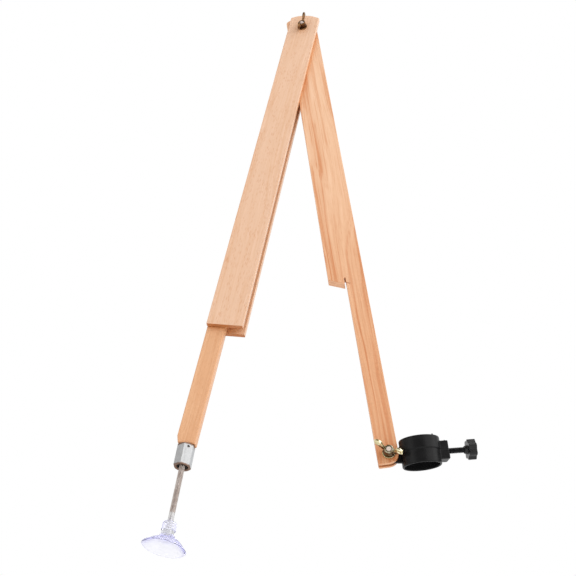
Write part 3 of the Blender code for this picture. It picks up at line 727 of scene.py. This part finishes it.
def add_collar():
    """The moulded collar, its parting step, boss, ear and mould nubs blended as one moulding."""
    half = 0.0131
    bore_radius = 0.0170
    boss_top = 0.0089
    half_ear = 0.0014
    past = 0.01
    section = collar_section(wide=0.0195, bore_radius=bore_radius, half=half, step=0.0006, fillet=0.0008)
    ring = lathe(section, 96)
    lower_boss = block((0.0100, -0.00775, -0.0089), (0.0265, 0.00775, 0.0004), 0.0009)
    upper_boss = block((0.0100, -0.0079, 0.0004), (0.0261, 0.0079, boss_top), 0.0009)
    tongue = ear_outline(radius=0.0082, reach=0.0118, drop=0.0021)
    ear = turned_to_front(prism(tongue, -half_ear, half_ear))
    eye = turned_to_front(cylinder(HOLE_RADIUS, -past, past))
    to_ring = RING_FRAME.inverted() @ Matrix.Translation(CLAMP) @ ARM_FRAME.to_3x3().to_4x4()
    for shape in (ear, eye):
        shape.transform(to_ring)
    nubs = []
    for x, y, top in ((0.0100, -0.0158, half), (0.0235, -0.0050, boss_top)):
        nub = lathe([(0, top + 0.0011), (0.0005, top + 0.0010), (0.0008, top - 0.001), (0, top - 0.001)], 16)
        bmesh.ops.translate(nub, verts=nub.verts, vec=(x, y, 0))
        nubs.append(nub)
    bore = cylinder(bore_radius, -0.03, 0.03, 96)
    nut_seat = turned_to_x(prism(hexagon(corner=0.0061, turn=30), 0.0, 0.0229))
    screw_hole = turned_to_x(cylinder(HOLE_RADIUS, 0.0, 0.032))
    mesh = solid(ring, joined=[lower_boss, upper_boss, ear] + nubs, cut=[bore, eye, nut_seat, screw_hole],
                 voxel=0.00036, smoothing=2)
    collar = place("clamp_collar_piece", mesh, RING_FRAME, BLACK_NYLON, 55)
    stand_for(collar, "collar", "black_plastic", "clamp_collar")


def add_clamp_screw():
    """The black clamp screw, from its tip inside the ring to its end inside the knob."""
    mesh = mesh_from(turned_to_x(threaded(SCREW_TIP, KNOB_START + 0.004)), "screw")
    screw = place("clamp_screw_piece", mesh, RING_FRAME, BLACK_STEEL, 80)
    stand_for(screw, "screw", "black_steel", "clamp_screw")


def add_clamp_knob():
    """The seven-lobed knob, with a hub towards the ring and a dished outer face."""
    lobes = 7
    radius = 0.0100
    base = KNOB_START + 0.0030
    face = base + 0.0078
    past = 0.01
    outline = []
    for i in range(24 * lobes):
        angle = 2 * math.pi * i / (24 * lobes)
        r = radius * (0.925 + 0.075 * math.cos(lobes * angle))
        outline.append((r * math.cos(angle), r * math.sin(angle)))
    disc = prism(outline, base, face)
    hub = lathe([(0, base + 0.002), (0.0046, base + 0.002), (0.0046, base), (0.0038, KNOB_START + 0.0004),
                 (0.0034, KNOB_START), (0, KNOB_START)], 48)
    dish = lathe([(0, face + past), (0.0066, face + past), (0.0062, face), (0.0054, face - 0.0009),
                  (0, face - 0.0013)], 48)
    bore = cylinder(THREAD_BORE, KNOB_START - 0.004, KNOB_START + 0.0045)
    for shape in (disc, hub, dish, bore):
        turned_to_x(shape)
    mesh = solid(disc, joined=[hub], cut=[dish, bore], voxel=0.00030, smoothing=3)
    knob = place("clamp_knob_piece", mesh, RING_FRAME, KNOB_NYLON, 55)
    stand_for(knob, "screw", "black_plastic", "clamp_knob")


def add_pressure_pad():
    """The round pad just inside the screw's tip."""
    radius = 0.0052
    back = SCREW_TIP - FIT_GAP
    face = back - 0.0030
    section = [(0, back)] + arc(radius - 0.0004, back - 0.0004, 0.0004, 90, 0, 3)
    section += arc(radius - 0.0008, face + 0.0008, 0.0008, 0, -90, 4) + [(0, face)]
    mesh = mesh_from(turned_to_x(lathe(section, 48)), "pad")
    pad = place("pressure_pad_piece", mesh, RING_FRAME, GREY_NYLON)
    stand_for(pad, "pad", "grey_plastic", "pressure_pad")


# Assembly --------------------------------------------------------------------------------------

def finish_cad_node(node, material):
    """Give a CAD node that stays its own material, with crisp faces and smooth rounds."""
    mesh = NODES[node].data
    mesh.materials.clear()
    mesh.materials.append(material)
    mesh.shade_smooth()
    mesh.set_sharp_from_angle(angle=math.radians(28))


def dress_object():
    """Every visible surface of the easel arm."""
    for node, material in (("front_plate", FRONT_BEECH), ("back_plate", BACK_BEECH),
                           ("extension_bar", BAR_BEECH), ("swing_arm", ARM_BEECH),
                           ("sleeve_pin", DARK_STEEL), ("cup_nut", ZINC), ("captive_nut", ZINC)):
        finish_cad_node(node, material)
    add_fasteners("pivot", PIVOT, PIVOT_GRIP, PIVOT_WING_TURN, ("channel_leg", "pivot_washer", "pivot_nut"),
                  AGED_BRASS, "aged_brass")
    add_fasteners("clamp", CLAMP, CLAMP_GRIP, CLAMP_WING_TURN, ("swing_arm", "clamp_washer", "clamp_nut"),
                  YELLOW_ZINC, "yellow_zinc")
    add_sleeve()
    add_rod()
    add_cup()
    add_collar()
    add_clamp_screw()
    add_clamp_knob()
    add_pressure_pad()


def add_area_light(name, position, target, size, power):
    """A soft square light that faces a point."""
    light = bpy.data.lights.new(name, "AREA")
    light.size = size
    light.energy = power
    lamp = bpy.data.objects.new(name, light)
    bpy.context.scene.collection.objects.link(lamp)
    lamp.location = position
    lamp.rotation_euler = (Vector(target) - Vector(position)).to_track_quat("-Z", "Y").to_euler()


def studio_world():
    """White surroundings, but reflections see a dim warm room in front and white only behind."""
    white = (1, 1, 1, 1)
    dim_room = (0.24, 0.21, 0.18, 1)
    world = bpy.data.worlds.new("studio")
    world.use_nodes = True
    nodes = world.node_tree.nodes
    links = world.node_tree.links
    direction = nodes.new("ShaderNodeTexCoord").outputs["Generated"]
    split = nodes.new("ShaderNodeSeparateXYZ")
    links.new(direction, split.inputs[0])
    behind = nodes.new("ShaderNodeMapRange")
    behind.interpolation_type = "SMOOTHSTEP"
    behind.inputs["From Min"].default_value = -0.45
    behind.inputs["From Max"].default_value = 0.15
    links.new(split.outputs["Y"], behind.inputs["Value"])
    room = nodes.new("ShaderNodeMix")
    room.data_type = "RGBA"
    room.inputs[6].default_value = dim_room
    room.inputs[7].default_value = white
    links.new(behind.outputs[0], room.inputs[0])
    seen = nodes.new("ShaderNodeMix")
    seen.data_type = "RGBA"
    seen.inputs[6].default_value = white
    path = nodes.new("ShaderNodeLightPath")
    mirrored = nodes.new("ShaderNodeMath")
    mirrored.operation = "MULTIPLY"
    links.new(path.outputs["Is Glossy Ray"], mirrored.inputs[0])
    links.new(path.outputs["Is Reflection Ray"], mirrored.inputs[1])
    links.new(mirrored.outputs[0], seen.inputs[0])
    links.new(room.outputs[2], seen.inputs[7])
    links.new(seen.outputs[2], nodes["Background"].inputs["Color"])
    return world


def light_scene():
    """White surroundings, a large key from the right, a weak fill, and a pale floor far below."""
    scene = bpy.context.scene
    scene.view_settings.view_transform = "Standard"
    scene.world = studio_world()
    middle = (PIVOT + FOOT) / 2
    add_area_light("key", middle + Vector((2.2, -1.3, 1.1)), middle, 3.6, 80)
    add_area_light("fill", middle + Vector((-1.8, -1.4, 0.1)), middle, 1.6, 10)
    floor_height = -1.05
    half = 30.0
    floor = bmesh.new()
    bmesh.ops.create_grid(floor, x_segments=8, y_segments=8, size=half)
    piece = place("floor", mesh_from(floor, "floor"), Matrix.Translation((0, 0, floor_height)),
                  plain_stage("pale_floor", (0.86, 0.86, 0.86, 1), (0.7, 0.7, 0.7, 1)))


def add_camera():
    """The view from in front and well below the clamp, looking up."""
    from_pivot = Vector((0.0710, -0.8485, -1.1585))
    upwards = math.radians(39.46)
    leftwards = math.radians(6.19)
    data = bpy.data.cameras.new("camera")
    data.lens = 62.76
    data.sensor_width = 36.0
    camera = bpy.data.objects.new("camera", data)
    bpy.context.scene.collection.objects.link(camera)
    camera.location = PIVOT + from_pivot
    camera.rotation_euler = (math.radians(90) + upwards, 0, leftwards)
    bpy.context.scene.camera = camera


dress_object()
light_scene()
add_camera()
